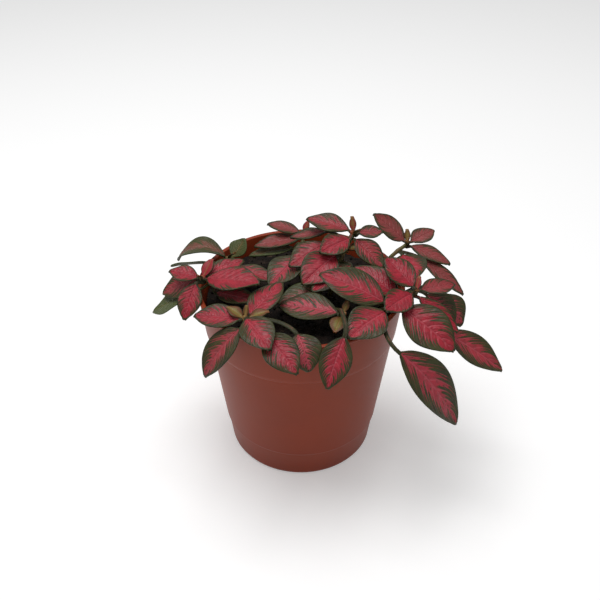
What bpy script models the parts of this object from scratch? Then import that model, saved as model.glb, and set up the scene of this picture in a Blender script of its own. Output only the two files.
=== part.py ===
"""Potted nerve plant: a small Fittonia in a round plastic nursery pot.

Frame: metres, +Z up, +Y towards the back, origin at the centre of the pot's flat underside.
The tables below are in millimetres and degrees, and MM turns millimetres into metres.
"""
from math import cos, pi, radians, sin

import bmesh
import bpy
from mathutils import Matrix, Vector

MM = 0.001
UP = Vector((0, 0, 1))

# pot
POT_HEIGHT = 80.0
RIM_RADIUS = 42.5
BASE_RADIUS = 32.0
WALL = 1.1
FLOOR = 1.6
BASE_BEVEL = 1.2
FOOT_HEIGHT = 13.5
FOOT_STEP = 0.5
COLLAR_BOTTOM = 60.0
COLLAR_STEP = 0.7
BEAD = 0.45
POT_SEGMENTS = 48
DRAIN_HOLES = 8
DRAIN_RADIUS = 3.0
DRAIN_CIRCLE = 22.0

# soil
SOIL_TOP = 73.0
SOIL_GAP = 0.35
SOIL_LUMP = 0.5
SOIL_RINGS = (8, 16, 24, 32)

# stems: foot on the soil (x, y), middle control point (x, y, z), crown (x, y, z)
SEAT_GAP = 0.3
STEM_FOOT_RADIUS = 1.0
STEM_TIP_RADIUS = 0.75
STEM_SIDES = 8
STEM_SPANS = 6
STEMS = {
    "a": ((-30, -4), (-34, -4, 84), (-39.5, -5.5, 85)),
    "b": ((-16, -22), (-19, -26, 83), (-21, -30, 83.5)),
    "e": ((9, -14), (15, -18, 82), (16, -24, 81)),
    "g": ((12, 0), (14, 2, 88), (21.5, 12, 95.5)),
    "h": ((30, 10), (36, 12, 85), (45, 18, 87)),
    "i": ((32, -9), (37, -11, 84.5), (44.5, -15.5, 85.5)),
    "j": ((26, -15), (31, -17, 79), (34, -20.5, 82)),
    "k": ((-24, 12), (-29, 13, 80), (-31, 14, 82.5)),
    "l": ((0, 14), (0, 17, 84), (1, 24, 88)),
}

# leaves: stem, fraction along it, offset of the blade's base from that point (x, y, z),
# heading, rise of base to tip, length, width, bend and roll
LEAF_THICKNESS = 0.5
STALK_HALF_WIDTH = 0.5
TIP_HALF_WIDTH = 0.35
STALK_LIFT = 0.6
BLADE_FOLD = 0.14
STALK_STATIONS = (0.0, 0.35, 0.7)
BLADE_STATIONS = (0.0, 0.12, 0.32, 0.56, 0.8, 1.0)
LEAVES = {
    "a1": ("a", 1.00, (2.2, -0.8, 0.8), -20, 8, 23, 15, 15, 5),
    "a2": ("a", 1.00, (-2.0, 0.6, 0.6), 165, 5, 12, 9, 10, -10),
    "a4": ("a", 0.94, (-3.0, -3.0, 0.0), -112, -42, 15, 10, 20, -10),
    "a5": ("a", 0.85, (-3.5, 0.5, 0.0), 170, -30, 18, 13, 20, -25),
    "a7": ("a", 0.94, (1.8, 2.2, 0.4), 30, 8, 16, 10, 10, 5),
    "a8": ("a", 0.60, (1.5, -4.0, -2.0), -30, 8, 20, 9, 10, 10),
    "a9": ("a", 0.70, (-8.5, -3.5, -4.0), 168, -34, 20, 14, 15, -8),
    "b1": ("b", 1.00, (-2.2, -0.4, 0.4), 167, -4, 18, 12, 15, -12),
    "b2": ("b", 1.00, (0.8, -3.4, 2.8), -57, -11, 17, 13, 30, 10),
    "b4": ("b", 0.90, (1.2, 2.2, 0.0), 57, 6, 22, 12, 10, 0),
    "c1": ("b", 0.80, (-2.5, -7.0, 0.3), -150, -47, 23, 13, 40, -10),
    "c2": ("b", 0.50, (5.7, -13.5, 2.8), -48, -23, 19, 13, 25, 22),
    "c3": ("b", 0.60, (18.0, -10.8, 0.6), -68, -42, 15, 13, 75, 8),
    "d1": ("e", 1.00, (-0.2, -16.5, 2.6), -120, -50, 20, 12, 20, -18),
    "e1": ("e", 1.00, (-2.2, 0.4, 0.8), 163, -4, 24, 14, 20, -12),
    "e2": ("g", 0.45, (-6.0, -10.0, -3.6), -167, -14, 19, 12, 15, -10),
    "f1": ("g", 0.62, (-2.6, -1.6, 1.5), -138, -18, 19, 15, 20, -20),
    "f2": ("g", 0.70, (-7.5, 4.0, 1.2), -149, -17, 18, 12, 15, -15),
    "f3": ("g", 0.55, (4.0, -4.0, 0.0), -143, -12, 20, 12, 15, -10),
    "g1": ("g", 1.00, (-2.2, 1.2, 1.4), 163, 7, 18, 11, 20, -10),
    "g2": ("g", 0.96, (-1.4, -2.4, 0.2), -149, -8, 14, 11, 15, -20),
    "g3": ("g", 1.00, (2.3, 0.3, 0.5), 5, 0, 10, 7.5, 10, 15),
    "g4": ("g", 0.93, (1.8, -1.6, 0.2), -41, -28, 16, 11, 20, 10),
    "h1": ("h", 1.00, (-1.6, 1.0, 1.2), 159, 36, 17, 11, 10, -15),
    "h2": ("h", 1.00, (2.0, 1.2, 0.6), 35, 6, 12.5, 9, 10, 10),
    "h3": ("h", 0.95, (2.4, -0.8, 0.0), -20, -17, 18, 8.5, 15, 10),
    "h4": ("h", 0.80, (9.0, -4.0, -2.0), -33, -28, 23, 7.5, 15, 12),
    "h5": ("h", 0.75, (2.0, -3.5, 0.0), -80, 0, 18, 15, 15, 5),
    "i1": ("i", 1.00, (-1.0, 1.4, 2.2), 135, 24, 16, 12, 15, -10),
    "i2": ("i", 1.00, (2.4, 1.3, 0.6), 20, -4, 15, 9, 10, 10),
    "i3": ("i", 0.95, (-1.2, -2.2, 0.9), -137, -2, 15, 11, 15, -20),
    "i4": ("i", 0.90, (2.8, -2.4, -0.8), -34, -28, 20, 8, 15, 15),
    "i6": ("i", 0.80, (9.0, 5.0, -5.0), -35, -38, 16, 14, 20, 20),
    "i7": ("i", 0.70, (17.0, 9.0, -8.0), -38, -45, 15, 13, 20, 20),
    "j1": ("j", 1.00, (5.0, -2.5, 1.3), -35, -24, 25, 17, 20, 25),
    "j2": ("j", 0.95, (-2.2, -7.0, 3.2), -139, -8, 19, 15, 20, -15),
    "j3": ("j", 1.00, (-2.2, 1.4, 2.0), 162, 16, 27, 16, 20, -18),
    "j4": ("j", 0.85, (4.5, 5.0, 2.5), 144, 15, 21, 13, 15, -15),
    "j5": ("j", 0.80, (3.3, -24.5, -2.0), -14, -52, 39, 17, 30, 30),
    "j6": ("j", 0.95, (23.0, -3.0, -10.0), -13, -32, 28, 13.5, 15, 20),
    "k1": ("k", 1.00, (-1.4, 0.6, 0.8), 178, -7, 24, 14, 120, 5),
    "k2": ("k", 0.95, (2.2, 1.6, 0.2), 45, 40, 9, 9.5, 10, 0),
    "k3": ("k", 0.85, (-7.0, -5.0, 2.0), 178, -6, 17, 10, 10, 35),
    "k6": ("k", 0.80, (3.0, -5.0, 0.0), -27, -3, 19, 10, 10, 0),
    "l1": ("l", 1.00, (-2.0, 0.6, 1.0), 167, 9, 14, 8, 15, -5),
    "l3": ("g", 0.85, (-9.0, 7.4, 0.9), -176, -9, 15, 8, 10, 0),
    "l4": ("l", 0.95, (-2.0, -2.0, 0.0), -174, -8, 19, 9.5, 15, -5),
    "l5": ("l", 0.75, (-4.0, -2.0, -1.0), -177, -10, 19, 8, 15, 0),
    "l6": ("l", 0.60, (-1.5, -9.0, 2.0), -129, -14, 19, 14, 15, -5),
}

# base colour, roughness
POT_PLASTIC = ((0.30, 0.06, 0.03), 0.38)
POTTING_SOIL = ((0.012, 0.008, 0.006), 0.95)
STEM_GREEN = ((0.26, 0.30, 0.09), 0.5)
LEAF_PINK = ((0.50, 0.04, 0.06), 0.42)


def clear_scene():
    for old in list(bpy.data.objects):
        bpy.data.objects.remove(old)


def material(name, look):
    colour, roughness = look
    made = bpy.data.materials.get(name)
    if made is None:
        made = bpy.data.materials.new(name)
        made.use_nodes = True
        shader = made.node_tree.nodes["Principled BSDF"]
        shader.inputs["Base Color"].default_value = (*colour, 1)
        shader.inputs["Roughness"].default_value = roughness
        shader.inputs["Metallic"].default_value = 0
    return made


def add_object(name, bm, parent, finish, smooth=True):
    bmesh.ops.recalc_face_normals(bm, faces=bm.faces)
    for face in bm.faces:
        face.smooth = smooth
    mesh = bpy.data.meshes.new(name)
    bm.to_mesh(mesh)
    bm.free()
    mesh.materials.append(finish)
    made = bpy.data.objects.new(name, mesh)
    bpy.context.scene.collection.objects.link(made)
    made.parent = parent
    return made


def outer_radius(height):
    """Outside of the pot's plain wall, without the foot step and the collar."""
    return BASE_RADIUS + (RIM_RADIUS - BASE_RADIUS - COLLAR_STEP) * height / POT_HEIGHT


def inner_radius(height):
    return outer_radius(height) - WALL


def pot_profile():
    """Half section of the pot, from the middle of the underside to the middle of the floor."""
    foot, collar = FOOT_HEIGHT, COLLAR_BOTTOM
    outside = [
        (0, 0),
        (BASE_RADIUS - BASE_BEVEL, 0),
        (outer_radius(BASE_BEVEL) - FOOT_STEP, BASE_BEVEL),
        (outer_radius(foot) - FOOT_STEP, foot),
        (outer_radius(foot + FOOT_STEP), foot + FOOT_STEP),
        (outer_radius(collar), collar),
        (outer_radius(collar) + COLLAR_STEP, collar + COLLAR_STEP),
        (RIM_RADIUS - BEAD, POT_HEIGHT - 3 * BEAD),
        (RIM_RADIUS, POT_HEIGHT - 2 * BEAD),
        (RIM_RADIUS, POT_HEIGHT - BEAD),
        (RIM_RADIUS - BEAD, POT_HEIGHT),
    ]
    inside = [
        (RIM_RADIUS - WALL - BEAD, POT_HEIGHT),
        (RIM_RADIUS - WALL - 2 * BEAD, POT_HEIGHT - BEAD),
        (inner_radius(collar), collar),
        (inner_radius(foot), foot),
        (inner_radius(FOOT_STEP + FLOOR) - FOOT_STEP, FLOOR),
        (0, FLOOR),
    ]
    return outside + inside


def turned(profile, segments):
    """Closed solid of revolution about Z from a half section that starts and ends on the axis."""
    bm = bmesh.new()
    points = [bm.verts.new((radius * MM, 0, height * MM)) for radius, height in profile]
    edges = [bm.edges.new(pair) for pair in zip(points, points[1:])]
    bmesh.ops.spin(bm, geom=points + edges, cent=(0, 0, 0), axis=(0, 0, 1),
                   angle=2 * pi, steps=segments, use_merge=True)
    bmesh.ops.remove_doubles(bm, verts=bm.verts, dist=1e-5)
    return bm


def build_pot(parent):
    plastic = material("pot_plastic", POT_PLASTIC)
    pot = add_object("pot", turned(pot_profile(), POT_SEGMENTS), parent, plastic)
    cutter = bmesh.new()
    for index in range(DRAIN_HOLES):
        angle = 2 * pi * (index + 0.5) / DRAIN_HOLES
        centre = Vector((cos(angle), sin(angle), 0)) * DRAIN_CIRCLE
        bmesh.ops.create_cone(cutter, cap_ends=True, segments=12, radius1=DRAIN_RADIUS * MM,
                              radius2=DRAIN_RADIUS * MM, depth=4 * FLOOR * MM,
                              matrix=Matrix.Translation(centre * MM))
    holes = add_object("drain_cutter", cutter, None, plastic)
    cut = pot.modifiers.new("drain holes", "BOOLEAN")
    cut.operation = "DIFFERENCE"
    cut.solver = "EXACT"
    cut.object = holes
    bpy.context.view_layer.update()
    drilled = bpy.data.meshes.new_from_object(pot.evaluated_get(bpy.context.evaluated_depsgraph_get()))
    pot.modifiers.remove(cut)
    pot.data = drilled
    bpy.data.objects.remove(holes)


def soil_height(x, y):
    """Height of the lumpy soil surface, in millimetres."""
    return SOIL_TOP + SOIL_LUMP * (sin(0.31 * x + 0.4) * cos(0.27 * y) + 0.5 * sin(0.5 * y + 0.2 * x))


def soil_ring(bm, radius, height, segments):
    ring = []
    for index in range(segments):
        angle = 2 * pi * index / segments
        x, y = radius * cos(angle), radius * sin(angle)
        z = soil_height(x, y) if height is None else height
        ring.append(bm.verts.new((x * MM, y * MM, z * MM)))
    return ring


def build_soil(parent):
    """A plug of potting soil that fills the pot to a little below its rim."""
    bm = bmesh.new()
    segments = SOIL_RINGS[-1]
    low = FLOOR + SEAT_GAP
    levels = (low, FOOT_HEIGHT, COLLAR_BOTTOM)
    rings = [soil_ring(bm, inner_radius(z) - SOIL_GAP - FOOT_STEP, z, segments) for z in levels]
    edge = inner_radius(SOIL_TOP) - SOIL_GAP - FOOT_STEP
    for count in reversed(SOIL_RINGS):
        rings.append(soil_ring(bm, edge * count / segments, None, segments))
    for lower, upper in zip(rings, rings[1:]):
        for index in range(segments):
            after = (index + 1) % segments
            bm.faces.new((lower[index], lower[after], upper[after], upper[index]))
    bm.faces.new(list(reversed(rings[0])))
    middle = bm.verts.new((0, 0, soil_height(0, 0) * MM))
    for index in range(segments):
        bm.faces.new((rings[-1][index], rings[-1][(index + 1) % segments], middle))
    add_object("potting_soil", bm, parent, material("potting_soil", POTTING_SOIL))


def stem_points(name):
    foot, middle, crown = STEMS[name]
    start = Vector((*foot, soil_height(*foot) + SEAT_GAP + 0.1))
    return start, Vector(middle), Vector(crown)


def stem_at(name, fraction):
    start, middle, crown = stem_points(name)
    rest = 1 - fraction
    return rest * rest * start + 2 * rest * fraction * middle + fraction * fraction * crown


def stem_direction(name, fraction):
    start, middle, crown = stem_points(name)
    return ((1 - fraction) * (middle - start) + fraction * (crown - middle)).normalized()


def stem_radius(fraction):
    return STEM_FOOT_RADIUS + (STEM_TIP_RADIUS - STEM_FOOT_RADIUS) * fraction


def build_stem(name, parent):
    bm = bmesh.new()
    rings = []
    side = Vector((1, 0, 0))
    for step in range(STEM_SPANS + 1):
        fraction = step / STEM_SPANS
        along = UP if step == 0 else stem_direction(name, fraction)
        side = (side - along * side.dot(along)).normalized()
        other = along.cross(side)
        ring = []
        for index in range(STEM_SIDES):
            angle = 2 * pi * index / STEM_SIDES
            spoke = side * cos(angle) + other * sin(angle)
            point = stem_at(name, fraction) + spoke * stem_radius(fraction)
            ring.append(bm.verts.new(point * MM))
        rings.append(ring)
    for lower, upper in zip(rings, rings[1:]):
        for index in range(STEM_SIDES):
            after = (index + 1) % STEM_SIDES
            bm.faces.new((lower[index], lower[after], upper[after], upper[index]))
    bm.faces.new(list(reversed(rings[0])))
    bm.faces.new(rings[-1])
    add_object("stem_" + name, bm, parent, material("stem_green", STEM_GREEN))


def blade_half_width(fraction, width):
    """Oval outline with a short point, half the width at a fraction of the length."""
    oval = sin(pi * fraction ** 0.88) ** 0.8 if 0 < fraction < 1 else 0
    least = STALK_HALF_WIDTH + (TIP_HALF_WIDTH - STALK_HALF_WIDTH) * fraction
    return max(least, 0.5 * width * oval)


def blade_frame(row, fraction):
    """Point, direction, side and up vector of a blade, which is an arc with the row's bend."""
    stem, joint, offset, heading, rise, length, width, bend, roll = row
    level = Vector((cos(radians(heading)), sin(radians(heading)), 0))
    first = radians(rise + bend / 2)
    turn = radians(bend)
    now = first - turn * fraction
    along = level * cos(now) + UP * sin(now)
    run = length * (sin(first) - sin(now)) / turn
    climb = length * (cos(now) - cos(first)) / turn
    point = stem_at(stem, joint) + Vector(offset) + level * run + UP * climb
    left = UP.cross(level)
    up = along.cross(left)
    side = left * cos(radians(roll)) + up * sin(radians(roll))
    return point, along, side, along.cross(side)


def stalk_curve(row):
    """Control points of the leaf stalk, from the stem's surface to the blade's base."""
    stem, joint = row[:2]
    base, along, side, up = blade_frame(row, 0)
    centre = stem_at(stem, joint)
    direction = stem_direction(stem, joint)
    outward = base - centre
    outward = (outward - direction * outward.dot(direction)).normalized()
    start = centre + outward * (stem_radius(joint) + SEAT_GAP)
    reach = (base - start).length / 3
    return start, start + (outward + UP * STALK_LIFT) * reach, base - along * reach, base


def bezier(points, t):
    a, b, c, d = points
    s = 1 - t
    point = s ** 3 * a + 3 * s * s * t * b + 3 * s * t * t * c + t ** 3 * d
    slope = s * s * (b - a) + 2 * s * t * (c - b) + t * t * (d - c)
    return point, slope.normalized()


def leaf_stations(row):
    """Point, side, up and half width at each station from the stem to the tip."""
    width = row[6]
    curve = stalk_curve(row)
    base, along, side, up = blade_frame(row, 0)
    stalk = []
    for t in reversed(STALK_STATIONS):
        point, slope = bezier(curve, t)
        side = along.rotation_difference(slope) @ side
        along = slope
        stalk.insert(0, (point, side, along.cross(side), STALK_HALF_WIDTH))
    blade = []
    for fraction in BLADE_STATIONS:
        point, along, side, up = blade_frame(row, fraction)
        blade.append((point, side, up, blade_half_width(fraction, width)))
    return stalk + blade


def build_leaf(name, parent):
    stations = leaf_stations(LEAVES[name])
    spans = len(stations) - 1
    bm = bmesh.new()
    bmesh.ops.create_grid(bm, x_segments=spans, y_segments=4, size=1)
    for vert in bm.verts:
        across = vert.co.y
        point, side, up, half = stations[round((vert.co.x + 1) / 2 * spans)]
        fold = BLADE_FOLD * (half - STALK_HALF_WIDTH) * across * across
        vert.co = (point + side * half * across + up * fold) * MM
    leaf = add_object("leaf_" + name, bm, parent, material("leaf_pink", LEAF_PINK))
    wall = leaf.modifiers.new("thickness", "SOLIDIFY")
    wall.thickness = LEAF_THICKNESS * MM
    wall.offset = 0


clear_scene()
plant = bpy.data.objects.new("potted_nerve_plant", None)
bpy.context.scene.collection.objects.link(plant)
build_pot(plant)
build_soil(plant)
for stem_name in STEMS:
    build_stem(stem_name, plant)
for leaf_name in LEAVES:
    build_leaf(leaf_name, plant)
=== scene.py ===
"""Potted nerve plant: pink-veined leaves on short stems in a terracotta-coloured plastic pot."""
from math import cos, pi, radians, sin

import bmesh
import bpy
from mathutils import Euler, Matrix, Vector, noise


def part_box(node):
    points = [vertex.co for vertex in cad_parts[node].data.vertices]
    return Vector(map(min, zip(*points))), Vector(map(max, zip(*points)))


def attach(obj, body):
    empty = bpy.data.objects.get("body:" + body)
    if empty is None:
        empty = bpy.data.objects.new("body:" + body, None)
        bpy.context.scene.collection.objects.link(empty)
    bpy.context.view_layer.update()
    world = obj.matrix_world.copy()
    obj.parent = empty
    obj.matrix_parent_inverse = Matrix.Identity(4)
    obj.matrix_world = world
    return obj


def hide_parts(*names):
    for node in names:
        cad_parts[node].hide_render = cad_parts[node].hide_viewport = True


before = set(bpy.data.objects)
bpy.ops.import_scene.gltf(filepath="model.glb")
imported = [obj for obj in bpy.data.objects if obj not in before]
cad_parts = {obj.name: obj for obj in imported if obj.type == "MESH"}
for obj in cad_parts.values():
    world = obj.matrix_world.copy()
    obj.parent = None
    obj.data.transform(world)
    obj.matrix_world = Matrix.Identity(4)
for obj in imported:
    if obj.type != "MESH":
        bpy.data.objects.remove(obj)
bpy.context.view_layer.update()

bl_info = {
    "name": "Potted nerve plant",
    "version": (1, 0, 0),
    "blender": (4, 5, 0),
    "location": "View3D > Sidebar > Nerve plant",
    "description": "Builds a small nerve plant in its plastic pot",
    "category": "Object",
}

MM = 0.001
UP = Vector((0, 0, 1))

# the frame's own measures, in millimetres
POT_LOW, POT_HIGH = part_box("pot")
POT_HEIGHT = (POT_HIGH[2] - POT_LOW[2]) / MM
RIM_RADIUS = (POT_HIGH[0] - POT_LOW[0]) / 2 / MM

# pot, as in the CAD solid
BASE_RADIUS = 32.0
WALL = 1.1
FLOOR = 1.6
BASE_BEVEL = 1.2
FOOT_HEIGHT = 13.5
FOOT_STEP = 0.5
COLLAR_BOTTOM = 60.0
COLLAR_STEP = 0.7
BEAD = 0.45
POT_STEPS = 144
POT_CREASE = radians(40)
DRAIN_HOLES = 8
DRAIN_RADIUS = 3.0
DRAIN_CIRCLE = 22.0

# soil
SOIL_TOP = 73.0
SOIL_LUMP = 0.5
SOIL_CELLS = 110
SOIL_CLEARANCE = 0.9
CLOD_HEIGHT = 0.55
GRAIN_HEIGHT = 0.28
SOIL_SINK = 0.35
CRUMBS = 260
CRUMB_RADIUS = 0.35
CRUMB_SPREAD = 0.55
GOLDEN_TURN = 2.39996

# stems: foot on the soil (x, y), middle control point (x, y, z), crown (x, y, z)
SEAT_GAP = 0.3
STEM_FOOT_RADIUS = 1.0
STEM_TIP_RADIUS = 0.75
STEM_SIDES = 16
STEM_SPANS = 28
BUD_SPANS = 3
BUD_LENGTH = 1.1
JOINT_SWELLING = 0.22
JOINT_REACH = 0.07
STEMS = {
    "a": ((-30, -4), (-34, -4, 84), (-39.5, -5.5, 85)),
    "b": ((-16, -22), (-19, -26, 83), (-21, -30, 83.5)),
    "e": ((9, -14), (15, -18, 82), (16, -24, 81)),
    "g": ((12, 0), (14, 2, 88), (21.5, 12, 95.5)),
    "h": ((30, 10), (36, 12, 85), (45, 18, 87)),
    "i": ((32, -9), (37, -11, 84.5), (44.5, -15.5, 85.5)),
    "j": ((26, -15), (31, -17, 79), (34, -20.5, 82)),
    "k": ((-24, 12), (-29, 13, 80), (-31, 14, 82.5)),
    "l": ((0, 14), (0, 17, 84), (1, 24, 88)),
}

# leaf stalks and blades; a mesh's cells are counted along the stalk, along the blade and across it
STALK_HALF_WIDTH = 0.5
TIP_HALF_WIDTH = 0.12
STALK_LIFT = 0.6
BLADE_FOLD = 0.14
LEAF_CELLS = (10, 44, 26)
YOUNG_CELLS = (4, 18, 12)
YOUNG_REACH = 1.6
YOUNG_BEND = 35
SEED_STEP = 0.618
YOUNG_SEED_STEP = 0.414

# side veins: how far one sweeps towards the tip and how it curves, and how far its place differs
# between the halves of a blade and from leaf to leaf
VEIN_SWEEP = 0.34
VEIN_CURVE = 1.35
HALF_SHIFT = 0.066
SEED_SHIFT = 0.13

# leaves: stem, fraction along it, offset of the blade's base from that point (x, y, z),
# heading, rise of base to tip, length, width, bend and roll
LEAVES = {
    "a1": ("a", 1.00, (2.2, -0.8, 0.8), -20, 8, 23, 15, 15, 5),
    "a2": ("a", 1.00, (-2.0, 0.6, 0.6), 165, 5, 12, 9, 10, -10),
    "a4": ("a", 0.94, (-3.0, -3.0, 0.0), -112, -42, 15, 10, 20, -10),
    "a5": ("a", 0.85, (-3.5, 0.5, 0.0), 170, -30, 18, 13, 20, -25),
    "a7": ("a", 0.94, (1.8, 2.2, 0.4), 30, 8, 16, 10, 10, 5),
    "a8": ("a", 0.60, (1.5, -4.0, -2.0), -30, 8, 20, 9, 10, 10),
    "a9": ("a", 0.70, (-8.5, -3.5, -4.0), 168, -34, 20, 14, 15, -8),
    "b1": ("b", 1.00, (-2.2, -0.4, 0.4), 167, -4, 18, 12, 15, -12),
    "b2": ("b", 1.00, (0.8, -3.4, 2.8), -57, -11, 17, 13, 30, 10),
    "b4": ("b", 0.90, (1.2, 2.2, 0.0), 57, 6, 22, 12, 10, 0),
    "c1": ("b", 0.80, (-2.5, -7.0, 0.3), -150, -47, 23, 13, 40, -10),
    "c2": ("b", 0.50, (5.7, -13.5, 2.8), -48, -23, 19, 13, 25, 22),
    "c3": ("b", 0.60, (18.0, -10.8, 0.6), -68, -42, 15, 13, 75, 8),
    "d1": ("e", 1.00, (-0.2, -16.5, 2.6), -120, -50, 20, 12, 20, -18),
    "e1": ("e", 1.00, (-2.2, 0.4, 0.8), 163, -4, 24, 14, 20, -12),
    "e2": ("g", 0.45, (-6.0, -10.0, -3.6), -167, -14, 19, 12, 15, -10),
    "f1": ("g", 0.62, (-2.6, -1.6, 1.5), -138, -18, 19, 15, 20, -20),
    "f2": ("g", 0.70, (-7.5, 4.0, 1.2), -149, -17, 18, 12, 15, -15),
    "f3": ("g", 0.55, (4.0, -4.0, 0.0), -143, -12, 20, 12, 15, -10),
    "g1": ("g", 1.00, (-2.2, 1.2, 1.4), 163, 7, 18, 11, 20, -10),
    "g2": ("g", 0.96, (-1.4, -2.4, 0.2), -149, -8, 14, 11, 15, -20),
    "g3": ("g", 1.00, (2.3, 0.3, 0.5), 5, 0, 10, 7.5, 10, 15),
    "g4": ("g", 0.93, (1.8, -1.6, 0.2), -41, -28, 16, 11, 20, 10),
    "h1": ("h", 1.00, (-1.6, 1.0, 1.2), 159, 36, 17, 11, 10, -15),
    "h2": ("h", 1.00, (2.0, 1.2, 0.6), 35, 6, 12.5, 9, 10, 10),
    "h3": ("h", 0.95, (2.4, -0.8, 0.0), -20, -17, 18, 8.5, 15, 10),
    "h4": ("h", 0.80, (9.0, -4.0, -2.0), -33, -28, 23, 7.5, 15, 12),
    "h5": ("h", 0.75, (2.0, -3.5, 0.0), -80, 0, 18, 15, 15, 5),
    "i1": ("i", 1.00, (-1.0, 1.4, 2.2), 135, 24, 16, 12, 15, -10),
    "i2": ("i", 1.00, (2.4, 1.3, 0.6), 20, -4, 15, 9, 10, 10),
    "i3": ("i", 0.95, (-1.2, -2.2, 0.9), -137, -2, 15, 11, 15, -20),
    "i4": ("i", 0.90, (2.8, -2.4, -0.8), -34, -28, 20, 8, 15, 15),
    "i6": ("i", 0.80, (9.0, 5.0, -5.0), -35, -38, 16, 14, 20, 20),
    "i7": ("i", 0.70, (17.0, 9.0, -8.0), -38, -45, 15, 13, 20, 20),
    "j1": ("j", 1.00, (5.0, -2.5, 1.3), -35, -24, 25, 17, 20, 25),
    "j2": ("j", 0.95, (-2.2, -7.0, 3.2), -139, -8, 19, 15, 20, -15),
    "j3": ("j", 1.00, (-2.2, 1.4, 2.0), 162, 16, 27, 16, 20, -18),
    "j4": ("j", 0.85, (4.5, 5.0, 2.5), 144, 15, 21, 13, 15, -15),
    "j5": ("j", 0.80, (3.3, -24.5, -2.0), -14, -52, 39, 17, 30, 30),
    "j6": ("j", 0.95, (23.0, -3.0, -10.0), -13, -32, 28, 13.5, 15, 20),
    "k1": ("k", 1.00, (-1.4, 0.6, 0.8), 178, -7, 24, 14, 120, 5),
    "k2": ("k", 0.95, (2.2, 1.6, 0.2), 45, 40, 9, 9.5, 10, 0),
    "k3": ("k", 0.85, (-7.0, -5.0, 2.0), 178, -6, 17, 10, 10, 35),
    "k6": ("k", 0.80, (3.0, -5.0, 0.0), -27, -3, 19, 10, 10, 0),
    "l1": ("l", 1.00, (-2.0, 0.6, 1.0), 167, 9, 14, 8, 15, -5),
    "l3": ("g", 0.85, (-9.0, 7.4, 0.9), -176, -9, 15, 8, 10, 0),
    "l4": ("l", 0.95, (-2.0, -2.0, 0.0), -174, -8, 19, 9.5, 15, -5),
    "l5": ("l", 0.75, (-4.0, -2.0, -1.0), -177, -10, 19, 8, 15, 0),
    "l6": ("l", 0.60, (-1.5, -9.0, 2.0), -129, -14, 19, 14, 15, -5),
}

# how pink the blade is, from 0 (mostly green between the veins) to 1 (all pink)
PINKNESS = {
    "a1": 0.95, "a2": 0.8, "a4": 0.62, "a5": 0.35, "a7": 0.8, "a8": 0.55, "a9": 0.0,
    "b1": 0.45, "b2": 0.4, "b4": 0.5, "c1": 0.3, "c2": 0.35, "c3": 0.1, "d1": 0.35,
    "e1": 0.15, "e2": 0.1, "f1": 0.6, "f2": 0.55, "f3": 0.5, "g1": 0.5, "g2": 0.7,
    "g3": 0.5, "g4": 0.5, "h1": 0.75, "h2": 0.7, "h3": 0.8, "h4": 0.7, "h5": 0.35,
    "i1": 0.75, "i2": 0.8, "i3": 0.8, "i4": 0.9, "i6": 0.15, "i7": 0.15, "j1": 0.42,
    "j2": 0.4, "j3": 0.35, "j4": 0.6, "j5": 0.25, "j6": 0.3, "k1": 0.2, "k2": 0.0,
    "k3": 0.0, "k6": 0.6, "l1": 0.6, "l3": 0.5, "l4": 0.6, "l5": 0.2, "l6": 0.3,
}

# young leaves at the crowns: stem, fraction, heading, rise, length, width, pinkness
YOUNG_LEAVES = {
    "a1": ("a", 1.00, 60, 35, 8, 5, 0.7),
    "a2": ("a", 1.00, 250, 50, 4, 2.6, 0.4),
    "b1": ("b", 1.00, 150, 20, 7, 5.5, 0.15),
    "b2": ("b", 1.00, 12, 15, 8, 5.5, 0.1),
    "b3": ("b", 1.00, 80, 50, 4, 2.4, 0.1),
    "e1": ("e", 0.95, 250, -12, 8, 7, 0.1),
    "e2": ("e", 1.00, 60, 45, 5, 3, 0.1),
    "g1": ("g", 1.00, 100, 60, 6, 3, 0.4),
    "g2": ("g", 1.00, 300, 45, 5, 3, 0.2),
    "g3": ("g", 0.72, 10, 10, 8, 5, 0.05),
    "h1": ("h", 1.00, 90, 50, 5, 2.8, 0.2),
    "h2": ("h", 1.00, 260, 40, 5, 3, 0.1),
    "i1": ("i", 1.00, 70, 40, 5.5, 3, 0.5),
    "i2": ("i", 1.00, 270, 45, 4, 2.4, 0.3),
    "k1": ("k", 1.00, 320, 45, 5, 3, 0.1),
    "l1": ("l", 1.00, 60, 45, 5, 3, 0.4),
    "l2": ("l", 1.00, 330, 15, 7, 3.5, 0.3),
}

# greyer brown-pink of some blades, partly painted sheen and partly dust, and green of the blades that
# show no pink, each from 0 to 1
SHEEN_AND_DUST = {
    "a5": 0.30, "a8": 0.25, "c1": 0.30, "f2": 0.15, "g1": 0.30, "g3": 0.40, "g4": 0.30,
    "h1": 0.65, "h2": 0.60, "h3": 0.60, "h4": 0.65, "i2": 0.35, "k1": 0.85, "k6": 0.25,
    "l1": 0.60, "l3": 0.55, "l4": 0.65, "l5": 0.50, "e2": 0.55, "j6": 0.10,
}
GREENNESS = {"a9": 1.0, "k1": 0.35, "k2": 0.9, "k3": 0.95, "l5": 0.75, "e2": 0.35}

# stage, in metres
FLOOR_HALF_SIZE = 6
FLOOR_GLOW = 0.3
SOFTBOX_SIZE = (0.55, 0.45)
SOFTBOX_PLACE = (-0.12, 0.05, 0.85)
SOFTBOX_AIM = (0, 0, 0.08)
CAMERA_AIM = (-0.0004, 0, 0.071)
SENSOR_WIDTH = 36
NEAR_LIMIT = 0.01


class PotSettings(bpy.types.PropertyGroup):
    """Colour and sheen of the pot."""
    colour: bpy.props.FloatVectorProperty(
        name="Pot colour", description="Colour of the plastic", subtype="COLOR",
        size=3, min=0, max=1, default=(0.27, 0.036, 0.009))
    roughness: bpy.props.FloatProperty(
        name="Pot roughness", description="How dull the plastic is", min=0, max=1, default=0.46)


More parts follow.
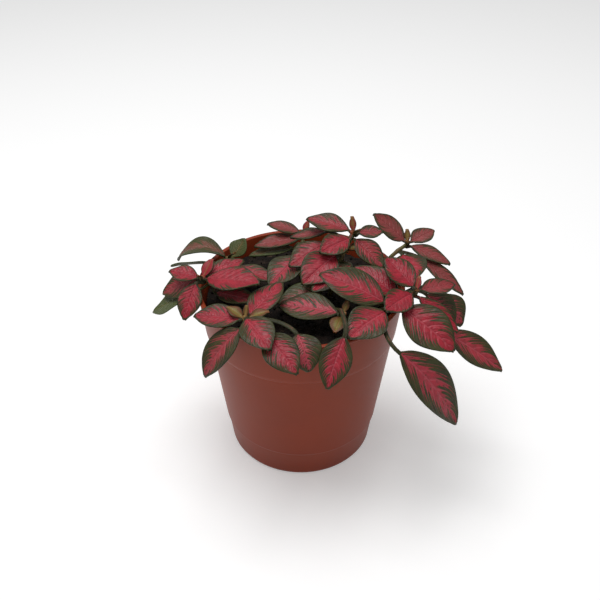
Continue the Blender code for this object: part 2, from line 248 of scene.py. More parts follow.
class SoilSettings(bpy.types.PropertyGroup):
    """Colour and grain of the soil."""
    # the soil colour's near-black default is partly the damp soil's own dark brown and partly painted
    # shade of the leaves above it
    colour: bpy.props.FloatVectorProperty(
        name="Soil colour", description="Colour of the damp soil", subtype="COLOR",
        size=3, min=0, max=1, default=(0.008, 0.005, 0.0035))
    grain: bpy.props.FloatProperty(
        name="Grain height", description="Height of the soil's crumbs", subtype="DISTANCE",
        unit="LENGTH", min=0, default=0.0006)


class LeafSettings(bpy.types.PropertyGroup):
    """Colours and thickness of the leaves and stems."""
    pink: bpy.props.FloatVectorProperty(
        name="Blade pink", description="Pink-red of the blade around the veins", subtype="COLOR",
        size=3, min=0, max=1, default=(0.40, 0.014, 0.032))
    vein: bpy.props.FloatVectorProperty(
        name="Vein pink", description="Paler pink of the veins", subtype="COLOR",
        size=3, min=0, max=1, default=(0.52, 0.085, 0.11))
    green: bpy.props.FloatVectorProperty(
        name="Blade green", description="Dark green between the veins and at the edge",
        subtype="COLOR", size=3, min=0, max=1, default=(0.024, 0.026, 0.005))
    under: bpy.props.FloatVectorProperty(
        name="Underside", description="Green of the underside", subtype="COLOR",
        size=3, min=0, max=1, default=(0.050, 0.065, 0.014))
    young: bpy.props.FloatVectorProperty(
        name="Young green", description="Yellow-green of young leaves and stems", subtype="COLOR",
        size=3, min=0, max=1, default=(0.20, 0.17, 0.035))
    thickness: bpy.props.FloatProperty(
        name="Blade thickness", description="Thickness of a blade", subtype="DISTANCE",
        unit="LENGTH", min=0.0002, default=0.0004)
    vein_pairs: bpy.props.FloatProperty(
        name="Vein pairs", description="Side veins on each half of a blade", min=2, default=7.5)


class StageSettings(bpy.types.PropertyGroup):
    """Floor, lamps and camera."""
    floor: bpy.props.FloatVectorProperty(
        name="Floor colour", description="Colour of the floor", subtype="COLOR",
        size=3, min=0, max=1, default=(0.86, 0.86, 0.86))
    sky: bpy.props.FloatProperty(
        name="Sky strength", description="Light from all round", min=0, default=0.36)
    softbox: bpy.props.FloatProperty(
        name="Softbox power", description="Light from the overhead softbox", unit="POWER",
        min=0, default=4.4)
    lens: bpy.props.FloatProperty(
        name="Focal length", description="The camera's lens", subtype="DISTANCE_CAMERA",
        min=1, default=46.1)
    distance: bpy.props.FloatProperty(
        name="Camera distance", description="From the camera to the point it looks at",
        subtype="DISTANCE", unit="LENGTH", min=0.01, default=0.32)
    elevation: bpy.props.FloatProperty(
        name="Camera elevation", description="How far the camera looks down", subtype="ANGLE",
        unit="ROTATION", default=radians(36))


class Field:
    """A value in a material that arithmetic can be done with."""

    def __init__(self, graph, socket):
        self.graph = graph
        self.socket = socket

    def __add__(self, other):
        return self.graph.maths("ADD", self, other)

    def __sub__(self, other):
        return self.graph.maths("SUBTRACT", self, other)

    def __rsub__(self, other):
        return self.graph.maths("SUBTRACT", other, self)

    def __mul__(self, other):
        return self.graph.maths("MULTIPLY", self, other)

    def __pow__(self, other):
        return self.graph.maths("POWER", self, other)

    def __abs__(self):
        return self.graph.maths("ABSOLUTE", self)

    __radd__ = __add__
    __rmul__ = __mul__


class Graph:
    """A new material and the nodes in it."""

    def __init__(self, name):
        self.material = bpy.data.materials.new(name)
        self.material.use_nodes = True
        self.nodes = self.material.node_tree.nodes
        self.links = self.material.node_tree.links
        self.shader = self.nodes["Principled BSDF"]

    def plug(self, socket, value):
        if isinstance(value, Field):
            self.links.new(value.socket, socket)
        elif socket.type == "RGBA" and len(value) == 3:
            socket.default_value = (*value, 1)
        else:
            socket.default_value = value

    def node(self, kind, settings=None, inputs=None):
        made = self.nodes.new(kind)
        for name, value in (settings or {}).items():
            setattr(made, name, value)
        for name, value in (inputs or {}).items():
            self.plug(made.inputs[name], value)
        return made

    def out(self, made, name):
        return Field(self, made.outputs[name])

    def maths(self, operation, *values):
        made = self.node("ShaderNodeMath", {"operation": operation}, dict(enumerate(values)))
        return self.out(made, "Value")

    def step(self, value, low, high):
        """0 below low, 1 above high, smooth between them."""
        made = self.node("ShaderNodeMapRange", {"interpolation_type": "SMOOTHSTEP"},
                         {"Value": value, "From Min": low, "From Max": high})
        return self.out(made, "Result")

    def least(self, one, other):
        return self.maths("MINIMUM", one, other)

    def most(self, one, other):
        return self.maths("MAXIMUM", one, other)

    def blend(self, factor, one, other):
        made = self.node("ShaderNodeMix", {"data_type": "RGBA"})
        self.plug(made.inputs["Factor"], factor)
        self.plug(made.inputs[6], one)
        self.plug(made.inputs[7], other)
        return Field(self, made.outputs[2])

    def position(self):
        return self.out(self.node("ShaderNodeTexCoord"), "Object")

    def noise(self, where, scale, detail=3.0, roughness=0.5):
        made = self.node("ShaderNodeTexNoise", {}, {
            "Vector": where, "Scale": scale, "Detail": detail, "Roughness": roughness})
        return self.out(made, "Fac")

    def parts(self, vector):
        made = self.node("ShaderNodeSeparateXYZ", {}, {"Vector": vector})
        return [self.out(made, axis) for axis in "XYZ"]

    def vector(self, x, y, z):
        made = self.node("ShaderNodeCombineXYZ", {}, {"X": x, "Y": y, "Z": z})
        return self.out(made, "Vector")

    def attribute(self, name):
        made = self.node("ShaderNodeAttribute", {"attribute_name": name})
        return self.parts(self.out(made, "Vector"))

    def white(self, where):
        made = self.node("ShaderNodeTexWhiteNoise", {"noise_dimensions": "3D"}, {"Vector": where})
        return self.out(made, "Value")

    def cells(self, where, scale, feature):
        made = self.node("ShaderNodeTexVoronoi", {"feature": feature}, {
            "Vector": where, "Scale": scale})
        return self.out(made, "Distance")

    def bump(self, height, distance, strength=1.0):
        made = self.node("ShaderNodeBump", {}, {
            "Height": height, "Distance": distance, "Strength": strength})
        self.plug(self.shader.inputs["Normal"], self.out(made, "Normal"))

    def finish(self, colour, roughness, **uniform):
        self.plug(self.shader.inputs["Base Color"], colour)
        self.plug(self.shader.inputs["Roughness"], roughness)
        for name, value in uniform.items():
            self.shader.inputs[name.replace("_", " ")].default_value = value
        return self.material


def plastic_finish(look):
    """Satin moulded plastic with faint mottling and fine scuffs."""
    g = Graph("pot_plastic")
    where = g.position()
    x, y, z = g.parts(where)
    mottle = g.noise(where, 30, 4, 0.6)
    dark = [0.93 * value for value in look.colour]
    pale = [1.06 * value for value in look.colour]
    colour = g.blend(g.step(mottle, 0.3, 0.72), dark, pale)
    ridge = g.noise(g.vector(x * 6, y * 6, z * 0.35), 160, 3, 0.55)
    scuff = g.step(ridge, 0.62, 0.80) * g.step(mottle, 0.5, 0.7) * 0.14
    colour = g.blend(scuff, colour, (0.36, 0.10, 0.05))
    g.bump(g.noise(where, 1500, 2, 0.6) + ridge * 0.4, 0.00003, 0.4)
    return g.finish(colour, mottle * 0.10 + (look.roughness - 0.05), Specular_IOR_Level=0.28)


def soil_finish(look):
    """Damp crumbly soil with pale fibres, painted shade in its hollows and painted light on its raised
    clods.
    """
    g = Graph("potting_soil")
    where = g.position()
    clods = g.noise(where, 260, 5, 0.7)
    fibre = g.noise(g.vector(*[part * k for part, k in zip(g.parts(where), (1, 5, 2))]), 320, 3, 0.6)
    # deep is painted shade in the hollows and the lighter colour is painted light on the raised clods;
    # both follow the clods that also raise the bump
    deep = [0.35 * value for value in look.colour]
    lit_clod_colour = [3.0 * value for value in look.colour]
    colour = g.blend(g.step(clods, 0.36, 0.66), deep, lit_clod_colour)
    colour = g.blend(g.step(fibre, 0.64, 0.70) * 0.8, colour, (0.13, 0.080, 0.045))
    g.bump(g.noise(where, 900, 4, 0.7) + clods, look.grain, 0.9)
    return g.finish(colour, g.step(clods, 0.2, 0.7) * 0.25 + 0.7, Specular_IOR_Level=0.25)


def blade_pattern(g, look):
    """Masks of a blade: the green between its veins and at its edge, its veins and midrib."""
    along, across, seed = g.attribute("blade")
    side, rim, pink = g.attribute("edge")
    where = g.position()
    wander = g.noise(where, 230, 3, 0.6) - 0.5
    out = abs(across)
    half = g.step(across, -0.01, 0.01)
    start = along - VEIN_SWEEP * (out ** VEIN_CURVE) + wander * 0.04
    branch = (start + half * HALF_SHIFT + seed * SEED_SHIFT) * look.vein_pairs
    near = g.maths("FRACT", branch)
    gap = g.least(near, 1 - near)
    vein = 1 - g.step(gap + out * 0.04, 0.04, 0.16)
    midrib = 1 - g.step(abs(side) + along * 0.15, 0.16, 0.60)
    lane = branch * 2
    drift = g.white(g.vector(g.maths("FLOOR", lane), half * 5, seed * 9))
    middle = abs(g.maths("FRACT", lane) - 0.5) * 2
    inner = 0.17 + pink * 0.66 + (drift - 0.5) * 0.62
    streak = g.step(out - inner - middle * middle * 0.30 + wander * 0.5, -0.05, 0.07)
    cells = g.cells(g.vector(start * 17, out * 3.4 + half * 7, seed * 9), 1.0, "DISTANCE_TO_EDGE")
    islet = g.step(cells - 0.24 - pink * 0.55 + out * 0.20, -0.03, 0.05)
    green = g.most(streak, islet) * (1 - vein * 0.8 * (1.05 - out)) * (1 - midrib)
    width = 1.25 - pink * 0.50
    edge = 1 - g.step(rim + wander * 0.9, width * 0.30, width * 0.95)
    return {"green": g.most(green, edge), "vein": vein, "midrib": midrib, "out": out,
            "pink": pink, "wander": wander, "cells": cells}


def blade_finish(look):
    """Top of a blade: pink veins that spread into dark green at the edge."""
    g = Graph("leaf_top")
    mask = blade_pattern(g, look)
    sheen_dust, bare = g.attribute("tone")[:2]
    fine = g.noise(g.position(), 420, 4, 0.6)
    deep = (0.66 * look.pink[0], 0.75 * look.pink[1], 0.66 * look.pink[2])
    flesh = g.blend(g.step(fine + mask["out"] * 0.10, 0.36, 0.66), look.pink, deep)
    rib = g.most(mask["vein"] * (1.1 - mask["out"]) * 0.55, mask["midrib"] * 0.75)
    flesh = g.blend(rib * (1 - mask["pink"] * 0.55), flesh, look.vein)
    open_net = g.step(0.45 - mask["pink"], 0.0, 0.35)
    flesh = g.blend(open_net * 0.45, flesh, [0.85 * value for value in look.vein])
    # the grey-brown mixed into the pink here is partly painted sheen and partly dust on the blade
    flesh = g.blend(sheen_dust * 0.8, flesh, (0.185, 0.075, 0.055))
    moss = g.blend(g.step(mask["wander"], -0.2, 0.2), look.green, [1.8 * v for v in look.green])
    moss = g.blend(bare, moss, [1.3 * value for value in look.under])
    ribbed = g.blend(rib * 0.8, moss, (0.20, 0.17, 0.05))
    colour = g.blend(mask["green"], flesh, moss)
    colour = g.blend(bare, colour, ribbed)
    height = g.step(mask["cells"], 0.0, 0.35) * 0.5 - mask["vein"] * 0.6 - mask["midrib"] * 0.9
    g.bump(height + fine * 0.35, 0.00022, 0.7)
    return g.finish(colour, mask["green"] * 0.05 + 0.43 + mask["wander"] * 0.1,
                    Specular_IOR_Level=0.40)


def underside_finish(look):
    """Underside of a blade: dull green with raised paler veins."""
    g = Graph("leaf_underside")
    mask = blade_pattern(g, look)
    colour = g.blend(g.step(mask["wander"], -0.22, 0.22), [0.7 * v for v in look.under], look.under)
    ribs = g.most(mask["vein"] * 0.55, mask["midrib"])
    colour = g.blend(ribs * 0.8, colour, (0.16, 0.14, 0.045))
    colour = g.blend(mask["pink"] * 0.35, colour, (0.16, 0.035, 0.030))
    g.bump(ribs, 0.0003, 0.8)
    return g.finish(colour, 0.58 + mask["wander"] * 0.1, Specular_IOR_Level=0.35)


def young_finish(look):
    """Young blades: yellow-green turning brown-pink towards the edge."""
    g = Graph("young_leaf")
    mask = blade_pattern(g, look)
    blush = g.blend(g.step(mask["out"] + mask["wander"], 0.1, 0.7), look.young, (0.14, 0.045, 0.011))
    pinked = g.step(mask["pink"] + mask["wander"], 0.15, 0.6)
    colour = g.blend(pinked, blush, [0.8 * v for v in look.pink])
    colour = g.blend(g.most(mask["vein"] * 0.5, mask["midrib"]) * 0.6, colour, (0.30, 0.13, 0.04))
    margin = g.step(mask["out"] + mask["wander"] * 0.3, 0.80, 1.0)
    colour = g.blend(margin * 0.85, colour, [1.6 * v for v in look.green])
    g.bump(1 - mask["vein"] * 0.5 - mask["midrib"] * 0.5, 0.00016, 0.7)
    return g.finish(colour, 0.45 + mask["wander"] * 0.1, Specular_IOR_Level=0.38)


def stem_finish(look):
    """Pale green stems with a pink flush and fine lengthwise streaks."""
    g = Graph("stem_green")
    where = g.position()
    streak = g.noise(g.vector(*[part * k for part, k in zip(g.parts(where), (3, 3, 0.6))]), 300, 3, 0.6)
    flush = g.step(g.noise(where, 120, 2, 0.5), 0.45, 0.7)
    base = [0.62 * look.young[0], 0.72 * look.young[1], 0.8 * look.young[2]]
    colour = g.blend(g.step(streak, 0.3, 0.7), [0.55 * v for v in base], base)
    colour = g.blend(flush * 0.45, colour, (0.22, 0.085, 0.035))
    g.bump(streak, 0.0001, 0.6)
    return g.finish(colour, 0.5 + streak * 0.1, Specular_IOR_Level=0.4)


def place(name, bm, finishes, node=None):
    """Makes the mesh an object that rides on the plant and stands for its CAD node."""
    for face in bm.faces:
        face.smooth = True
    mesh = bpy.data.meshes.new(name)
    bm.to_mesh(mesh)
    bm.free()
    for finish in finishes:
        mesh.materials.append(finish)
    piece = bpy.data.objects.new(name, mesh)
    bpy.context.scene.collection.objects.link(piece)
    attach(piece, "root")
    if node:
        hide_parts(node)
    return piece


def outer_radius(height):
    return BASE_RADIUS + (RIM_RADIUS - BASE_RADIUS - COLLAR_STEP) * height / POT_HEIGHT


def inner_radius(height):
    return outer_radius(height) - WALL


def pot_profile():
    """Half section of the pot, with its corners eased, from the underside to the floor."""
    foot, collar, ease = FOOT_HEIGHT, COLLAR_BOTTOM, 0.3
    return [
        (0, 0),
        (DRAIN_CIRCLE - 2 * DRAIN_RADIUS, 0),
        (BASE_RADIUS - 3 * BASE_BEVEL, 0),
        (BASE_RADIUS - 1.5 * BASE_BEVEL, 0),
        (BASE_RADIUS - 0.75 * BASE_BEVEL, 0.25 * BASE_BEVEL),
        (outer_radius(BASE_BEVEL) - FOOT_STEP, BASE_BEVEL),
        (outer_radius(BASE_BEVEL + 1) - FOOT_STEP, BASE_BEVEL + 1),
        (outer_radius(foot - ease) - FOOT_STEP, foot - ease),
        (outer_radius(foot) - 0.8 * FOOT_STEP, foot + 0.2 * ease),
        (outer_radius(foot + FOOT_STEP) - 0.1, foot + FOOT_STEP),
        (outer_radius(foot + 2 * FOOT_STEP), foot + 2.4 * FOOT_STEP),
        (outer_radius(collar - 1), collar - 1),
        (outer_radius(collar), collar),
        (outer_radius(collar) + 0.55 * COLLAR_STEP, collar + 0.25 * COLLAR_STEP),
        (outer_radius(collar) + 0.95 * COLLAR_STEP, collar + 0.8 * COLLAR_STEP),
        (outer_radius(collar + 2) + COLLAR_STEP, collar + 2),
        (RIM_RADIUS - BEAD - 0.02, POT_HEIGHT - 4.5 * BEAD),
        (RIM_RADIUS - BEAD, POT_HEIGHT - 3.2 * BEAD),
        (RIM_RADIUS - 0.25 * BEAD, POT_HEIGHT - 2.6 * BEAD),
        (RIM_RADIUS, POT_HEIGHT - 1.9 * BEAD),
        (RIM_RADIUS, POT_HEIGHT - 1.0 * BEAD),
        (RIM_RADIUS - 0.3 * BEAD, POT_HEIGHT - 0.3 * BEAD),
        (RIM_RADIUS - BEAD, POT_HEIGHT),
        (RIM_RADIUS - WALL - 0.9 * BEAD, POT_HEIGHT),
        (RIM_RADIUS - WALL - 1.6 * BEAD, POT_HEIGHT - 0.4 * BEAD),
        (RIM_RADIUS - WALL - 2.0 * BEAD, POT_HEIGHT - 1.6 * BEAD),
        (inner_radius(collar), collar),
        (inner_radius(foot), foot),
        (inner_radius(FOOT_STEP + FLOOR) - FOOT_STEP, FLOOR),
        (0, FLOOR),
    ]


def build_pot(look):
    bm = bmesh.new()
    points = [bm.verts.new((radius * MM, 0, height * MM)) for radius, height in pot_profile()]
    edges = [bm.edges.new(pair) for pair in zip(points, points[1:])]
    bmesh.ops.spin(bm, geom=points + edges, cent=(0, 0, 0), axis=(0, 0, 1),
                   angle=2 * pi, steps=POT_STEPS, use_merge=True)
    bmesh.ops.remove_doubles(bm, verts=bm.verts, dist=1e-5)
    bmesh.ops.recalc_face_normals(bm, faces=bm.faces)
    piece = place("pot_shell", bm, [plastic_finish(look)], "pot")
    cutter = bmesh.new()
    for index in range(DRAIN_HOLES):
        angle = 2 * pi * (index + 0.5) / DRAIN_HOLES
        centre = Vector((cos(angle), sin(angle), 0)) * DRAIN_CIRCLE
        bmesh.ops.create_cone(cutter, cap_ends=True, segments=32, radius1=DRAIN_RADIUS * MM,
                              radius2=DRAIN_RADIUS * MM, depth=4 * FLOOR * MM,
                              matrix=Matrix.Translation(centre * MM))
    mesh = bpy.data.meshes.new("drain_cutter")
    cutter.to_mesh(mesh)
    cutter.free()
    holes = bpy.data.objects.new("drain_cutter", mesh)
    bpy.context.scene.collection.objects.link(holes)
    cut = piece.modifiers.new("drain holes", "BOOLEAN")
    cut.operation = "DIFFERENCE"
    cut.solver = "EXACT"
    cut.object = holes
    bpy.context.view_layer.update()
    drilled = bpy.data.meshes.new_from_object(
        piece.evaluated_get(bpy.context.evaluated_depsgraph_get()))
    piece.modifiers.remove(cut)
    piece.data = drilled
    bpy.data.objects.remove(holes)
    crease = piece.modifiers.new("crease", "EDGE_SPLIT")
    crease.split_angle = POT_CREASE


def soil_height(x, y):
    """Height of the lumpy soil surface, in millimetres."""
    return SOIL_TOP + SOIL_LUMP * (sin(0.31 * x + 0.4) * cos(0.27 * y) + 0.5 * sin(0.5 * y + 0.2 * x))


def build_soil(look):
    """A plug with a crumbly top, and loose crumbs pressed into it."""
    edge = inner_radius(SOIL_TOP) - SOIL_CLEARANCE
    bm = bmesh.new()
    bmesh.ops.create_grid(bm, x_segments=SOIL_CELLS, y_segments=SOIL_CELLS, size=1)
    for vert in bm.verts:
        x, y = vert.co.x, vert.co.y
        round_x = x * (1 - y * y / 2) ** 0.5
        round_y = y * (1 - x * x / 2) ** 0.5
        px, py = edge * round_x, edge * round_y
        rough = noise.fractal(Vector((px, py, 0)) * 0.35, 0.7, 2.0, 5)
        grain = noise.noise(Vector((px, py, 3)) * 1.9)
        rise = CLOD_HEIGHT * rough + GRAIN_HEIGHT * grain - SOIL_SINK
        vert.co = Vector((px, py, soil_height(px, py) + rise)) * MM
    rim = [edge for edge in bm.edges if edge.is_boundary]
    low = FLOOR + SEAT_GAP
    grown = bmesh.ops.extrude_edge_only(bm, edges=rim)["geom"]
    for vert in [item for item in grown if isinstance(item, bmesh.types.BMVert)]:
        flat = Vector((vert.co.x, vert.co.y, 0)).normalized()
        vert.co = (flat * (inner_radius(low) - SOIL_CLEARANCE - FOOT_STEP) + UP * low) * MM
    bottom = [item for item in grown if isinstance(item, bmesh.types.BMEdge) and item.is_boundary]
    bmesh.ops.holes_fill(bm, edges=bottom, sides=0)
    for index in range(CRUMBS):
        turn = index * GOLDEN_TURN
        radius = edge * ((index + 0.5) / CRUMBS) ** 0.5 * 0.97
        x, y = radius * cos(turn), radius * sin(turn)
        size = CRUMB_RADIUS + CRUMB_SPREAD * noise.random()
        spot = Vector((x, y, soil_height(x, y) + 0.1 * size)) * MM
        angles = (noise.random() * 3, noise.random() * 3, noise.random() * 3)
        turned = Euler(angles).to_matrix().to_4x4()
        squat = Matrix.Diagonal((1.3, 0.9, 0.7, 1))
        bmesh.ops.create_icosphere(bm, subdivisions=1, radius=size * MM,
                                   matrix=Matrix.Translation(spot) @ turned @ squat)
    bmesh.ops.recalc_face_normals(bm, faces=bm.faces)
    place("soil_plug", bm, [soil_finish(look)], "potting_soil")


def stem_points(name):
    foot, middle, crown = STEMS[name]
    start = Vector((*foot, soil_height(*foot) + SEAT_GAP + 0.1))
    return start, Vector(middle), Vector(crown)


def stem_at(name, fraction):
    start, middle, crown = stem_points(name)
    rest = 1 - fraction
    return rest * rest * start + 2 * rest * fraction * middle + fraction * fraction * crown


def stem_direction(name, fraction):
    start, middle, crown = stem_points(name)
    return ((1 - fraction) * (middle - start) + fraction * (crown - middle)).normalized()


def stem_radius(fraction):
    return STEM_FOOT_RADIUS + (STEM_TIP_RADIUS - STEM_FOOT_RADIUS) * fraction


def stem_swelling(name, fraction):
    """Stems are a little thicker where leaves join."""
    joints = {row[1] for row in LEAVES.values() if row[0] == name}
    near = min([abs(fraction - joint) for joint in joints] + [1.0])
    return 1 + JOINT_SWELLING * max(0, 1 - near / JOINT_REACH)


def build_stem(name, finish):
    """A tube drawn from its foot to its crown, ending in a small bud."""
    bm = bmesh.new()
    ring = bmesh.ops.create_circle(bm, cap_ends=False, segments=STEM_SIDES, radius=1)["verts"]
    spokes = [vert.co.copy() for vert in ring]
    edges = list(bm.edges)
    foot_edges = list(edges)
    for step in range(STEM_SPANS + BUD_SPANS + 1):
        fraction = min(1, step / STEM_SPANS)
        past = max(0, step - STEM_SPANS) / BUD_SPANS
        along = stem_direction(name, fraction)
        frame_turn = UP.rotation_difference(along)
        radius = stem_radius(fraction) * stem_swelling(name, fraction) * (1 - past ** 2) ** 0.5
        centre = stem_at(name, fraction) + along * past * BUD_LENGTH
        if step:
            grown = bmesh.ops.extrude_edge_only(bm, edges=edges)["geom"]
            ring = [item for item in grown if isinstance(item, bmesh.types.BMVert)]
            edges = [item for item in grown if isinstance(item, bmesh.types.BMEdge)]
        for vert, spoke in zip(ring, spokes):
            vert.co = (centre + frame_turn @ (spoke * max(radius, 0.02))) * MM
    bmesh.ops.holes_fill(bm, edges=foot_edges, sides=0)
    bmesh.ops.holes_fill(bm, edges=edges, sides=0)
    bmesh.ops.recalc_face_normals(bm, faces=bm.faces)
    place("stem_" + name + "_tube", bm, [finish], "stem_" + name)


def blade_half_width(fraction, width):
    """Oval outline with a short point, half the width at a fraction of the length."""
    oval = sin(pi * fraction ** 0.88) ** 0.8 if 0 < fraction < 1 else 0
    least = STALK_HALF_WIDTH + (TIP_HALF_WIDTH - STALK_HALF_WIDTH) * fraction
    return max(least, 0.5 * width * oval)


def blade_frame(row, fraction):
    """Point, direction, side and up vector of a blade, which is an arc with the row's bend."""
    stem, joint, offset, heading, rise, length, _, bend, roll = row
    level = Vector((cos(radians(heading)), sin(radians(heading)), 0))
    first = radians(rise + bend / 2)
    turn = radians(bend)
    now = first - turn * fraction
    along = level * cos(now) + UP * sin(now)
    run = length * (sin(first) - sin(now)) / turn
    climb = length * (cos(now) - cos(first)) / turn
    point = stem_at(stem, joint) + Vector(offset) + level * run + UP * climb
    left = UP.cross(level)
    up = along.cross(left)
    side = left * cos(radians(roll)) + up * sin(radians(roll))
    return point, along, side, along.cross(side)


def stalk_curve(row):
    """Control points of the leaf stalk, from inside the stem to the blade's base."""
    stem, joint = row[:2]
    base, along = blade_frame(row, 0)[:2]
    centre = stem_at(stem, joint)
    direction = stem_direction(stem, joint)
    outward = base - centre
    outward = (outward - direction * outward.dot(direction)).normalized()
    start = centre + outward * (stem_radius(joint) + SEAT_GAP)
    reach = (base - start).length / 3
    return start, start + (outward + UP * STALK_LIFT) * reach, base - along * reach, base


def bezier(points, t):
    a, b, c, d = points
    s = 1 - t
    point = s ** 3 * a + 3 * s * s * t * b + 3 * s * t * t * c + t ** 3 * d
    slope = s * s * (b - a) + 2 * s * t * (c - b) + t * t * (d - c)
    return point, slope.normalized()


def leaf_stations(row, stalk_count, blade_count):
    """Point, side, up, half width and blade fraction at each station from the stem to the tip."""
    width = row[6]
    curve = stalk_curve(row)
    along, side = blade_frame(row, 0)[1:3]
    stalk = []
    for index in reversed(range(stalk_count)):
        point, slope = bezier(curve, index / stalk_count)
        side = along.rotation_difference(slope) @ side
        along = slope
        stalk.insert(0, (point, side, along.cross(side), STALK_HALF_WIDTH, index / stalk_count - 1))
    first_point, first_side, first_up, half = stalk[0][:4]
    root = stem_at(row[0], row[1])
    stalk.insert(0, (root + (first_point - root) * 0.4, first_side, first_up, half, -1.2))
    blade = []
    for index in range(blade_count + 1):
        fraction = 0.5 - 0.5 * cos(pi * index / blade_count)
        point, _, side, up = blade_frame(row, fraction)
        blade.append((point, side, up, blade_half_width(fraction, width), fraction))
    return stalk + blade


def pucker(fraction, across, half, width, seed, pairs):
    """Height of the quilting between side veins and of the wavy edge, in millimetres."""
    out = abs(across)
    start = fraction - VEIN_SWEEP * out ** VEIN_CURVE
    side_shift = HALF_SHIFT if across > 0 else 0
    ridge = abs(sin(pi * pairs * (start + side_shift + SEED_SHIFT * seed)))
    room = min(1, half / (0.22 * width + 0.01)) * out ** 0.6 * (1 - out ** 6)
    wave = sin(9 * fraction + 5 * seed + (2 if across > 0 else 0)) * out ** 3
    groove = -0.16 * max(0, 1 - out * half / 0.7) * min(1, half / 2)
    return 0.020 * width * ridge * room + 0.022 * width * wave * min(1, half / 3) + groove


def build_blade(name, row, tones, seed, finishes, look, cells, node=None):
    """A blade with its stalk: a grid laid along the stations, then given its thickness."""
    stalk_cells, blade_cells, across_cells = cells
    pinkness, sheen_and_dust, greenness = tones
    stations = leaf_stations(row, stalk_cells, blade_cells)
    spans = len(stations) - 1
    width = row[6]
    bm = bmesh.new()
    bmesh.ops.create_grid(bm, x_segments=spans, y_segments=across_cells, size=1)
    blade_mark = bm.verts.layers.float_vector.new("blade")
    edge_mark = bm.verts.layers.float_vector.new("edge")
    tone_mark = bm.verts.layers.float_vector.new("tone")
    stalk_group = bm.verts.layers.deform.verify()
    for vert in bm.verts:
        across = vert.co.y
        point, side, up, half, fraction = stations[round((vert.co.x + 1) / 2 * spans)]
        along = max(0, fraction)
        fold = BLADE_FOLD * (half - STALK_HALF_WIDTH) * across * across
        if 0 < fraction < 1:
            fold += pucker(fraction, across, half, width, seed, look.vein_pairs)
        round_over = -0.28 * across * across if half < 1.5 * STALK_HALF_WIDTH else 0
        tip_room = (1 - along) * row[5] * 0.8
        vert[blade_mark] = (along, across, seed)
        vert[edge_mark] = (across * half, min((1 - abs(across)) * half, tip_room), pinkness)
        vert[tone_mark] = (sheen_and_dust, greenness, 0)
        vert[stalk_group][0] = 1 - min(1, max(0, (half - STALK_HALF_WIDTH) / (0.25 * width)))
        vert.co = (point + side * half * across + up * (fold + round_over)) * MM
    piece = place(name, bm, finishes, node)
    piece.vertex_groups.new(name="stalk")
    wall = piece.modifiers.new("thickness", "SOLIDIFY")
    wall.thickness = 2 * STALK_HALF_WIDTH * MM
    wall.vertex_group = "stalk"
    wall.thickness_vertex_group = look.thickness / wall.thickness
    wall.offset = 0
    wall.material_offset = 1
    return piece


def pose_of_young(row):
    """The same kind of row as a grown leaf's, for a small leaf at a crown."""
    stem, joint, heading, rise, length, width = row[:6]
    lift = radians(rise)
    level = Vector((cos(radians(heading)), sin(radians(heading)), 0))
    offset = (level * cos(lift) + UP * sin(lift)) * YOUNG_REACH
    return (stem, joint, tuple(offset), heading, rise, length, width, YOUNG_BEND, 0)


class PLANT_OT_pot(bpy.types.Operator):
    """Turn the pot"""
    bl_idname = "nerve_plant.pot"
    bl_label = "Pot"

    def execute(self, context):
        build_pot(context.scene.nerve_pot)
        return {"FINISHED"}


class PLANT_OT_soil(bpy.types.Operator):
    """Fill the pot with soil"""
    bl_idname = "nerve_plant.soil"
    bl_label = "Soil"

    def execute(self, context):
        build_soil(context.scene.nerve_soil)
        return {"FINISHED"}


class PLANT_OT_stems(bpy.types.Operator):
    """Grow the stems"""
    bl_idname = "nerve_plant.stems"
    bl_label = "Stems"

    def execute(self, context):
        finish = stem_finish(context.scene.nerve_leaf)
        for name in STEMS:
            build_stem(name, finish)
        return {"FINISHED"}


class PLANT_OT_leaves(bpy.types.Operator):
    """Grow the leaves"""
    bl_idname = "nerve_plant.leaves"
    bl_label = "Leaves"

    def execute(self, context):
        look = context.scene.nerve_leaf
        finishes = [blade_finish(look), underside_finish(look)]
        for index, (name, row) in enumerate(LEAVES.items()):
            seed = (index * SEED_STEP) % 1
            tones = (PINKNESS[name], SHEEN_AND_DUST.get(name, 0), GREENNESS.get(name, 0))
            build_blade("leaf_" + name + "_blade", row, tones, seed, finishes, look,
                        LEAF_CELLS, "leaf_" + name)
        return {"FINISHED"}


class PLANT_OT_young_leaves(bpy.types.Operator):
    """Grow the young leaves at the crowns"""
    bl_idname = "nerve_plant.young_leaves"
    bl_label = "Young leaves"

    def execute(self, context):
        look = context.scene.nerve_leaf
        finishes = [young_finish(look), underside_finish(look)]
        for index, (name, row) in enumerate(YOUNG_LEAVES.items()):
            seed = (index * YOUNG_SEED_STEP) % 1
            build_blade("young_leaf_" + name, pose_of_young(row), (row[6], 0, 0), seed, finishes,
                        look, YOUNG_CELLS)
        return {"FINISHED"}


class PLANT_OT_stage(bpy.types.Operator):
    """Set up the floor, the lamps and the camera"""
    bl_idname = "nerve_plant.stage"
    bl_label = "Stage"

    def execute(self, context):
        build_stage(context.scene, context.scene.nerve_stage)
        return {"FINISHED"}


def floor_finish(look):
    """Pale floor that stays white for the camera and keeps the shadow."""
    g = Graph("pale_floor")
    g.plug(g.shader.inputs["Base Color"], tuple(look.floor))
    g.shader.inputs["Roughness"].default_value = 1
    g.shader.inputs["Specular IOR Level"].default_value = 0
    rays = g.node("ShaderNodeLightPath")
    seen = g.most(g.out(rays, "Is Camera Ray"), g.out(rays, "Is Glossy Ray"))
    seen = g.most(seen, g.out(rays, "Is Transmission Ray"))
    g.shader.inputs["Emission Color"].default_value = (1, 1, 1, 1)
    g.plug(g.shader.inputs["Emission Strength"], seen * FLOOR_GLOW)
    return g.material


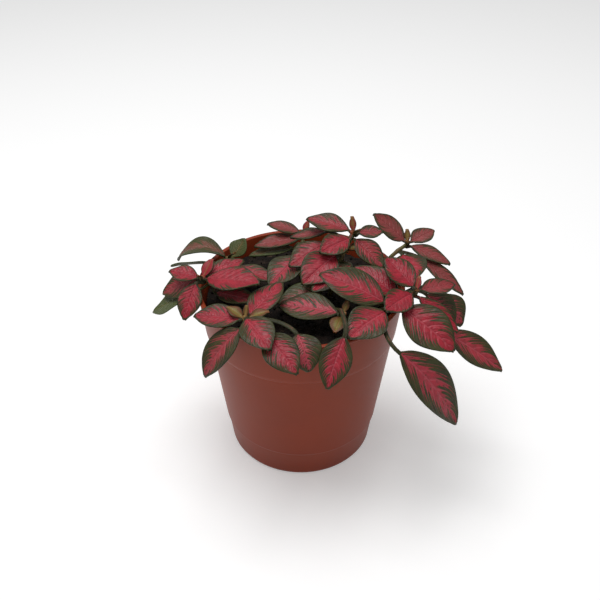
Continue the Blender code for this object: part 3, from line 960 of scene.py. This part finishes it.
def build_stage(scene, look):
    bm = bmesh.new()
    bmesh.ops.create_grid(bm, x_segments=1, y_segments=1, size=FLOOR_HALF_SIZE)
    mesh = bpy.data.meshes.new("floor")
    bm.to_mesh(mesh)
    bm.free()
    mesh.materials.append(floor_finish(look))
    floor = bpy.data.objects.new("floor", mesh)
    scene.collection.objects.link(floor)

    world = bpy.data.worlds.new("sky")
    world.use_nodes = True
    world.node_tree.nodes["Background"].inputs["Color"].default_value = (1, 1, 1, 1)
    world.node_tree.nodes["Background"].inputs["Strength"].default_value = look.sky
    scene.world = world

    lamp = bpy.data.lights.new("softbox", "AREA")
    lamp.shape = "RECTANGLE"
    lamp.size, lamp.size_y = SOFTBOX_SIZE
    lamp.energy = look.softbox
    softbox = bpy.data.objects.new("softbox", lamp)
    softbox.location = SOFTBOX_PLACE
    aim = Vector(SOFTBOX_AIM) - softbox.location
    softbox.rotation_euler = aim.to_track_quat("-Z", "Y").to_euler()
    scene.collection.objects.link(softbox)

    target = Vector(CAMERA_AIM)
    back = Vector((0, -cos(look.elevation), sin(look.elevation)))
    lens = bpy.data.cameras.new("camera")
    lens.lens = look.lens
    lens.sensor_width = SENSOR_WIDTH
    lens.clip_start = NEAR_LIMIT
    camera = bpy.data.objects.new("camera", lens)
    camera.location = target + back * look.distance
    camera.rotation_euler = (-back).to_track_quat("-Z", "Y").to_euler()
    scene.collection.objects.link(camera)
    scene.camera = camera
    scene.view_settings.view_transform = "Standard"


class PLANT_PT_panel(bpy.types.Panel):
    """Lists the plant's settings and the buttons that build its pieces"""
    bl_idname = "PLANT_PT_panel"
    bl_label = "Nerve plant"
    bl_space_type = "VIEW_3D"
    bl_region_type = "UI"
    bl_category = "Nerve plant"

    def draw(self, context):
        scene = context.scene
        for group in (scene.nerve_pot, scene.nerve_soil, scene.nerve_leaf, scene.nerve_stage):
            box = self.layout.box()
            for name in group.__annotations__:
                box.prop(group, name)
        for operator in OPERATORS:
            self.layout.operator(operator.bl_idname)


SETTINGS = {"nerve_pot": PotSettings, "nerve_soil": SoilSettings, "nerve_leaf": LeafSettings,
            "nerve_stage": StageSettings}
OPERATORS = (PLANT_OT_pot, PLANT_OT_soil, PLANT_OT_stems, PLANT_OT_leaves,
             PLANT_OT_young_leaves, PLANT_OT_stage)


def register():
    for name, settings in SETTINGS.items():
        bpy.utils.register_class(settings)
        setattr(bpy.types.Scene, name, bpy.props.PointerProperty(type=settings))
    for operator in OPERATORS:
        bpy.utils.register_class(operator)
    bpy.utils.register_class(PLANT_PT_panel)


def unregister():
    bpy.utils.unregister_class(PLANT_PT_panel)
    for operator in reversed(OPERATORS):
        bpy.utils.unregister_class(operator)
    for name, settings in reversed(SETTINGS.items()):
        delattr(bpy.types.Scene, name)
        bpy.utils.unregister_class(settings)


def main():
    register()
    noise.seed_set(7)
    bpy.ops.nerve_plant.pot()
    bpy.ops.nerve_plant.soil()
    bpy.ops.nerve_plant.stems()
    bpy.ops.nerve_plant.leaves()
    bpy.ops.nerve_plant.young_leaves()
    bpy.ops.nerve_plant.stage()


if __name__ == "__main__":
    main()
